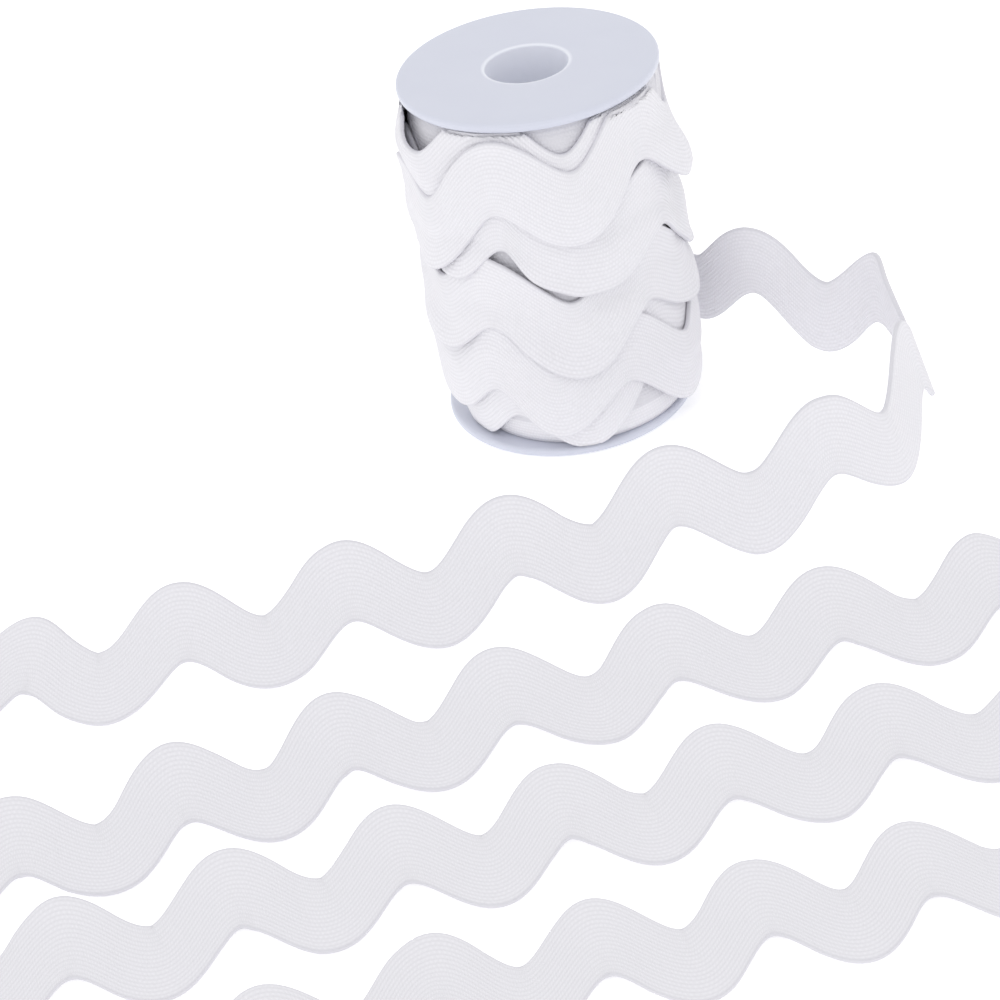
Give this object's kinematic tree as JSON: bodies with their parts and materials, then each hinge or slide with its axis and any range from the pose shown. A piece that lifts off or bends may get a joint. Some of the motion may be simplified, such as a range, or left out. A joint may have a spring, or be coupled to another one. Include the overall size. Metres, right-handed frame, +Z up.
{
  "type": "roll of ric rac",
  "caption": "Wavy woven trim wound on a flanged plastic spool, its long loose end standing by the spool, bending round and lying back and forth in rows.",
  "frame": {"origin": "on the surface that the roll stands on, at the middle of the whole part's footprint", "axes": "+Z up along the spool's axis, +X along the rows of the loose end, +Y from the rows towards the spool"},
  "size_m": [0.3398, 0.2802, 0.0875],
  "materials": {
    "spool_plastic": "satin moulded",
    "trim": "woven matte"
  },
  "bodies": {
    "root": {"spool": "spool_plastic", "wound_trim": "trim", "loose_end": "trim"}
  },
  "joints": []
}
